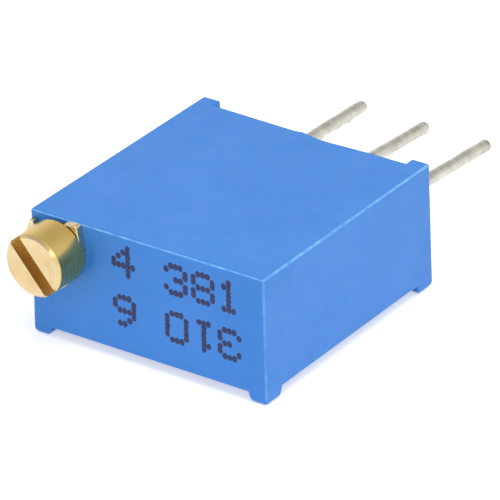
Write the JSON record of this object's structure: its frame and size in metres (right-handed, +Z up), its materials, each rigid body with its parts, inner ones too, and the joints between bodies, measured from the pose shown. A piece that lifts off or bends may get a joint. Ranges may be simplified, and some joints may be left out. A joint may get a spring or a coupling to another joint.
{
  "type": "trimmer potentiometer",
  "caption": "Square multi-turn trimmer potentiometer: slotted brass worm screw, toothed rotor with its wiper, element plate, and wire terminals in line.",
  "frame": {"origin": "under the middle of the whole part, on the plane of the four feet of the broad back", "axes": "+X across the body, with the screw at the low end of X; +Y from the screw's face to the terminals' tips; +Z up from the broad back to the plain face"},
  "size_m": [0.0096, 0.018, 0.0048],
  "materials": {
    "blue_moulding": "satin moulded thermoset, bright blue",
    "turned_brass": "turned, fine lathe marks, bright",
    "sheet_brass": "stamped, bright",
    "ring_rubber": "moulded, red brown",
    "wheel_moulding": "moulded, natural",
    "contact_alloy": "rolled spring strip",
    "alumina": "fired, white",
    "cermet_film": "printed and fired, dark",
    "conductor_film": "printed and fired, grey metal",
    "tinned_wire": "tinned, slightly uneven",
    "solder": "bright solder",
    "dam_rubber": "moulded, pale grey",
    "cast_resin": "cast, off-white"
  },
  "bodies": {
    "case": {"housing": "blue_moulding", "screw_retainer": "sheet_brass", "element_substrate": "alumina", "resistor_track": "cermet_film", "collector_ring": "conductor_film", "end_pad_1": "conductor_film", "end_pad_3": "conductor_film", "terminal_1": "tinned_wire", "terminal_2": "tinned_wire", "terminal_3": "tinned_wire", "solder_joint_1": "solder", "solder_joint_2": "solder", "solder_joint_3": "solder", "sealing_dam": "dam_rubber", "epoxy_seal": "cast_resin"},
    "screw": {"adjustment_screw": "turned_brass", "o_ring": "ring_rubber"},
    "rotor": {"rotor_wheel": "wheel_moulding", "wiper_contact": "contact_alloy"}
  },
  "joints": [
    {"name": "adjuster_turn", "type": "hinge", "parent": "case", "child": "screw", "pos_m": [-0.00344, -0.00743, 0.00357], "axis": [0, 1, 0], "range_deg": [-4500, 4500]},
    {"name": "rotor_turn", "type": "hinge", "parent": "case", "child": "rotor", "pos_m": [0, -0.00354, 0.00357], "axis": [0, 0, 1], "range_deg": [-150, 150]}
  ],
  "couplings": [
    {"joint": "rotor_turn", "follows": "adjuster_turn", "ratio": 0.033333}
  ]
}
